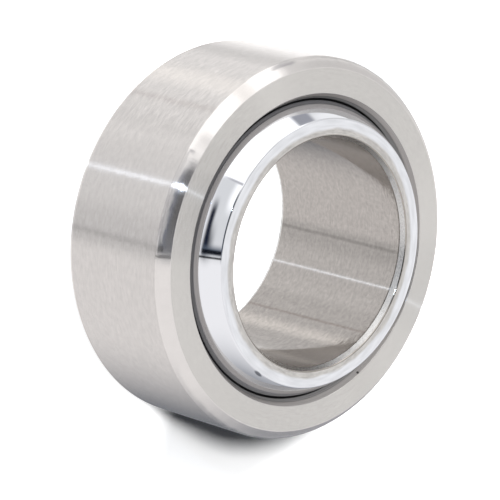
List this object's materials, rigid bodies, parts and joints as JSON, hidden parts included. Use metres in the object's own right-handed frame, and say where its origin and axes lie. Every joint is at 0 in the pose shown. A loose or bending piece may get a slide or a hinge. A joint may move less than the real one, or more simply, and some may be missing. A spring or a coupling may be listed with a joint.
{
  "type": "spherical plain bearing",
  "caption": "Spherical plain bearing: a chromed ball ring with a ground bore tilts and turns inside a lined outer ring with flat faces and polished rounded corners.",
  "frame": {"origin": "centre of the ball, which is the middle of both rings and the point that the inner ring tilts and turns about", "axes": "+Z along the bearing's axis, out of the outer ring's front face; the bearing lies on the inner ring's lower end face at z = -10 mm"},
  "size_m": [0.042, 0.042, 0.02],
  "materials": {
    "ground_steel": "fine ground, corners polished",
    "sliding_composite": "dark sliding film on sintered bronze",
    "chromed_steel": "hard chrome, mirror polished ball, ground bore and ends"
  },
  "bodies": {
    "outer": {"outer_ring": "ground_steel", "sliding_liner": "sliding_composite"},
    "inner": {"inner_ring": "chromed_steel"}
  },
  "joints": [
    {"name": "inner_ring_tilt", "type": "hinge", "parent": "outer", "child": "inner", "pos_m": [0, 0, 0], "axis": [1, 0, 0], "range_deg": [-7, 7]}
  ]
}
